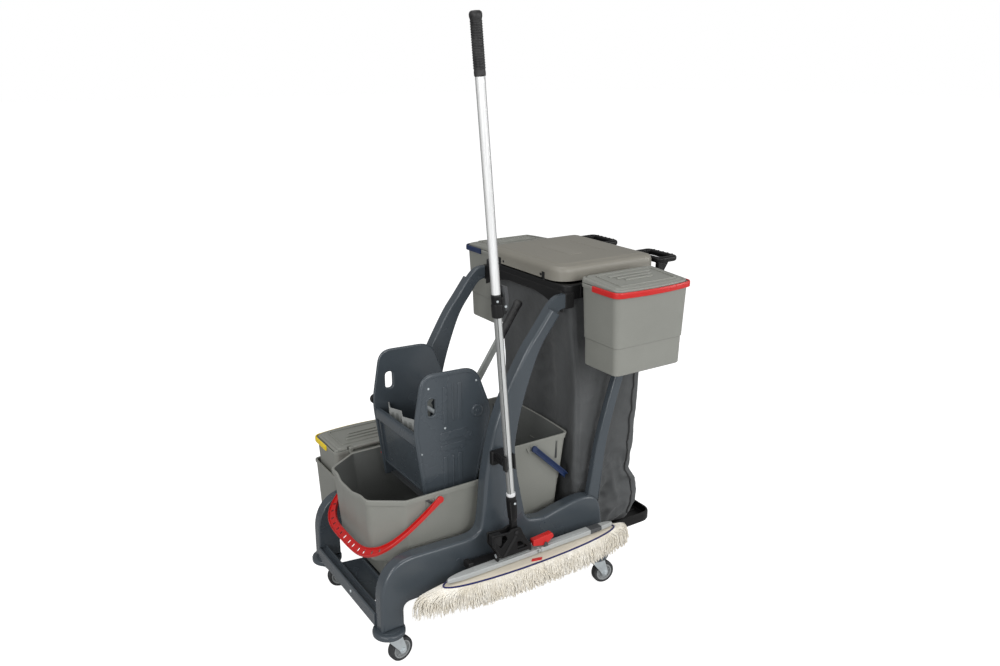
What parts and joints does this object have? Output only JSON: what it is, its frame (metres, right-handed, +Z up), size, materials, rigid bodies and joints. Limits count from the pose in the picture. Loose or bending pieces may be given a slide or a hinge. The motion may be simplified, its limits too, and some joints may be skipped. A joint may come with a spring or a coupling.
{
  "type": "double mop bucket trolley",
  "caption": "Cleaning trolley with front and rear mop buckets, a lever wringer, a lidded waste bag, small lidded buckets and a flat mop in a handle clip.",
  "frame": {"origin": "on the floor, under the centre of the part's bounding box", "axes": "+X towards the rear (bag and push handles), -X towards the front bucket and wringer; -Y towards the side that carries the mop; +Z up"},
  "size_m": [1.1049, 0.838, 1.7618],
  "materials": {
    "slate_plastic": "satin moulded",
    "grey_plastic": "satin moulded",
    "light_grey_plastic": "satin moulded",
    "black_plastic": "satin moulded",
    "red_plastic": "satin moulded",
    "blue_plastic": "satin moulded",
    "yellow_plastic": "satin moulded",
    "bag_fabric": "coated woven cloth",
    "mop_fabric": "looped yarn",
    "zinc_steel": "zinc plated",
    "aluminium_tube": "drawn tube",
    "tyre_rubber": "grey rubber"
  },
  "bodies": {
    "chassis": {"side_frame_near": "slate_plastic", "side_frame_far": "slate_plastic", "deck": "slate_plastic", "cross_members": "slate_plastic", "rear_struts": "slate_plastic", "leg_collars": "slate_plastic", "bag_ring": "black_plastic", "push_handles": "black_plastic", "bag_base": "black_plastic", "bag": "bag_fabric", "lid_hinge_pins": "zinc_steel", "mop_clips": "black_plastic", "frame_screws": "zinc_steel", "side_holder": "grey_plastic"},
    "bag_lid": {"bag_lid": "grey_plastic"},
    "small_bucket_red": {"small_bucket_red": "grey_plastic", "clip_red": "red_plastic"},
    "small_bucket_blue": {"small_bucket_blue": "grey_plastic", "clip_blue": "blue_plastic"},
    "small_bucket_yellow": {"small_bucket_yellow": "grey_plastic", "clip_yellow": "yellow_plastic"},
    "small_lid_red": {"small_lid_red": "grey_plastic"},
    "small_lid_blue": {"small_lid_blue": "grey_plastic"},
    "small_lid_yellow": {"small_lid_yellow": "grey_plastic"},
    "front_bucket": {"front_bucket": "grey_plastic"},
    "front_bail": {"front_bail": "red_plastic"},
    "rear_bucket": {"rear_bucket": "grey_plastic"},
    "rear_bail": {"rear_bail": "blue_plastic"},
    "wringer": {"wringer_panel_near": "slate_plastic", "wringer_panel_far": "slate_plastic", "wringer_front": "slate_plastic", "wringer_back": "slate_plastic", "wringer_sieve": "light_grey_plastic", "wringer_bushes": "black_plastic", "wringer_screws": "zinc_steel", "wringer_knob": "black_plastic"},
    "lever": {"lever_shaft": "zinc_steel", "lever_bar": "light_grey_plastic", "lever_grip": "black_plastic", "return_spring": "zinc_steel"},
    "jaw": {"press_jaw": "light_grey_plastic", "jaw_shaft": "zinc_steel"},
    "mop_handle": {"mop_lower_tube": "aluminium_tube", "mop_socket": "black_plastic"},
    "mop_upper": {"mop_upper_tube": "aluminium_tube", "mop_collar": "black_plastic", "mop_grip": "black_plastic"},
    "mop_yoke": {"mop_yoke": "black_plastic"},
    "mop_frame": {"mop_wing_left": "light_grey_plastic", "mop_pad": "mop_fabric"},
    "mop_wing": {"mop_wing_right": "light_grey_plastic"},
    "mop_pedal": {"mop_pedal": "red_plastic"},
    "caster_front_near": {"caster_fork_front_near": "zinc_steel"},
    "wheel_front_near": {"caster_wheel_front_near": "tyre_rubber"},
    "caster_front_far": {"caster_fork_front_far": "zinc_steel"},
    "wheel_front_far": {"caster_wheel_front_far": "tyre_rubber"},
    "caster_rear_near": {"caster_fork_rear_near": "zinc_steel"},
    "wheel_rear_near": {"caster_wheel_rear_near": "tyre_rubber"},
    "caster_rear_far": {"caster_fork_rear_far": "zinc_steel"},
    "wheel_rear_far": {"caster_wheel_rear_far": "tyre_rubber"}
  },
  "joints": [
    {"name": "swivel_front_near", "type": "hinge", "parent": "chassis", "child": "caster_front_near", "pos_m": [-0.5055, -0.236, 0.105], "axis": [0, 0, 1], "continuous": true},
    {"name": "spin_front_near", "type": "hinge", "parent": "caster_front_near", "child": "wheel_front_near", "pos_m": [-0.47005, -0.22975, 0.0375], "axis": [-0.1736, 0.9848, 0], "continuous": true},
    {"name": "swivel_front_far", "type": "hinge", "parent": "chassis", "child": "caster_front_far", "pos_m": [-0.5055, 0.218, 0.105], "axis": [0, 0, 1], "continuous": true},
    {"name": "spin_front_far", "type": "hinge", "parent": "caster_front_far", "child": "wheel_front_far", "pos_m": [-0.4697, 0.21424, 0.0375], "axis": [0.1045, 0.9945, 0], "continuous": true},
    {"name": "swivel_rear_near", "type": "hinge", "parent": "chassis", "child": "caster_rear_near", "pos_m": [0.2345, -0.236, 0.105], "axis": [0, 0, 1], "continuous": true},
    {"name": "spin_rear_near", "type": "hinge", "parent": "caster_rear_near", "child": "wheel_rear_near", "pos_m": [0.27023, -0.24039, 0.0375], "axis": [0.1219, 0.9925, 0], "continuous": true},
    {"name": "swivel_rear_far", "type": "hinge", "parent": "chassis", "child": "caster_rear_far", "pos_m": [0.2345, 0.218, 0.105], "axis": [0, 0, 1], "continuous": true},
    {"name": "spin_rear_far", "type": "hinge", "parent": "caster_rear_far", "child": "wheel_rear_far", "pos_m": [0.27036, 0.22114, 0.0375], "axis": [-0.0872, 0.9962, 0], "continuous": true},
    {"name": "bag_lid_hinge", "type": "hinge", "parent": "chassis", "child": "bag_lid", "pos_m": [0.1005, -0.009, 1.043], "axis": [0, -1, 0], "range_deg": [0, 100]},
    {"name": "small_red_lift", "type": "slide", "parent": "chassis", "child": "small_bucket_red", "axis": [0, 0, 1], "range_m": [0, 0.25]},
    {"name": "small_blue_lift", "type": "slide", "parent": "chassis", "child": "small_bucket_blue", "axis": [0, 0, 1], "range_m": [0, 0.25]},
    {"name": "small_yellow_lift", "type": "slide", "parent": "chassis", "child": "small_bucket_yellow", "axis": [0, 0, 1], "range_m": [0, 0.25]},
    {"name": "small_lid_red_hinge", "type": "hinge", "parent": "small_bucket_red", "child": "small_lid_red", "pos_m": [0.2745, -0.241, 1.047], "axis": [-1, 0, 0], "range_deg": [0, 80]},
    {"name": "small_lid_blue_hinge", "type": "hinge", "parent": "small_bucket_blue", "child": "small_lid_blue", "pos_m": [0.2745, 0.223, 1.047], "axis": [1, 0, 0], "range_deg": [0, 80]},
    {"name": "small_lid_yellow_hinge", "type": "hinge", "parent": "small_bucket_yellow", "child": "small_lid_yellow", "pos_m": [-0.3095, 0.241, 0.461], "axis": [1, 0, 0], "range_deg": [0, 80]},
    {"name": "front_bucket_lift", "type": "slide", "parent": "chassis", "child": "front_bucket", "axis": [0, 0, 1], "range_m": [0, 0.3]},
    {"name": "front_bail_hinge", "type": "hinge", "parent": "front_bucket", "child": "front_bail", "pos_m": [-0.3155, -0.009, 0.456], "axis": [0, 1, 0], "range_deg": [0, 96]},
    {"name": "rear_bucket_lift", "type": "slide", "parent": "chassis", "child": "rear_bucket", "axis": [0, 0, 1], "range_m": [0, 0.16]},
    {"name": "rear_bail_hinge", "type": "hinge", "parent": "rear_bucket", "child": "rear_bail", "pos_m": [0.0145, -0.009, 0.528], "axis": [0, -1, 0], "range_deg": [0, 130], "deforming": ["bag"]},
    {"name": "wringer_lift", "type": "slide", "parent": "front_bucket", "child": "wringer", "axis": [0, 0, 1], "range_m": [0, 0.3]},
    {"name": "lever_hinge", "type": "hinge", "parent": "wringer", "child": "lever", "pos_m": [-0.1535, -0.009, 0.674], "axis": [0, -1, 0], "range_deg": [0, 70]},
    {"name": "jaw_hinge", "type": "hinge", "parent": "wringer", "child": "jaw", "pos_m": [-0.18272, -0.009, 0.60168], "axis": [0, -1, 0], "range_deg": [-35, 0]},
    {"name": "mop_out", "type": "slide", "parent": "chassis", "child": "mop_handle", "axis": [0, -1, 0], "range_m": [0, 0.25]},
    {"name": "mop_telescope", "type": "slide", "parent": "mop_handle", "child": "mop_upper", "axis": [-0.0819, 0, 0.9966], "range_m": [-0.33, 0.24]},
    {"name": "mop_roll", "type": "hinge", "parent": "mop_handle", "child": "mop_yoke", "pos_m": [-0.1415, -0.323, 0.36], "axis": [0, 1, 0], "range_deg": [-12, 12]},
    {"name": "mop_tilt", "type": "hinge", "parent": "mop_yoke", "child": "mop_frame", "pos_m": [-0.1415, -0.323, 0.294], "axis": [-1, 0, 0], "range_deg": [0, 50]},
    {"name": "mop_fold", "type": "hinge", "parent": "mop_frame", "child": "mop_wing", "pos_m": [-0.0585, -0.323, 0.271], "axis": [0, 1, 0], "range_deg": [0, 60], "deforming": ["mop_pad"]},
    {"name": "mop_pedal_hinge", "type": "hinge", "parent": "mop_wing", "child": "mop_pedal", "pos_m": [-0.0335, -0.323, 0.286], "axis": [0, 1, 0], "range_deg": [0, 10]}
  ],
  "couplings": [
    {"joint": "jaw_hinge", "follows": "lever_hinge", "ratio": -0.5}
  ]
}
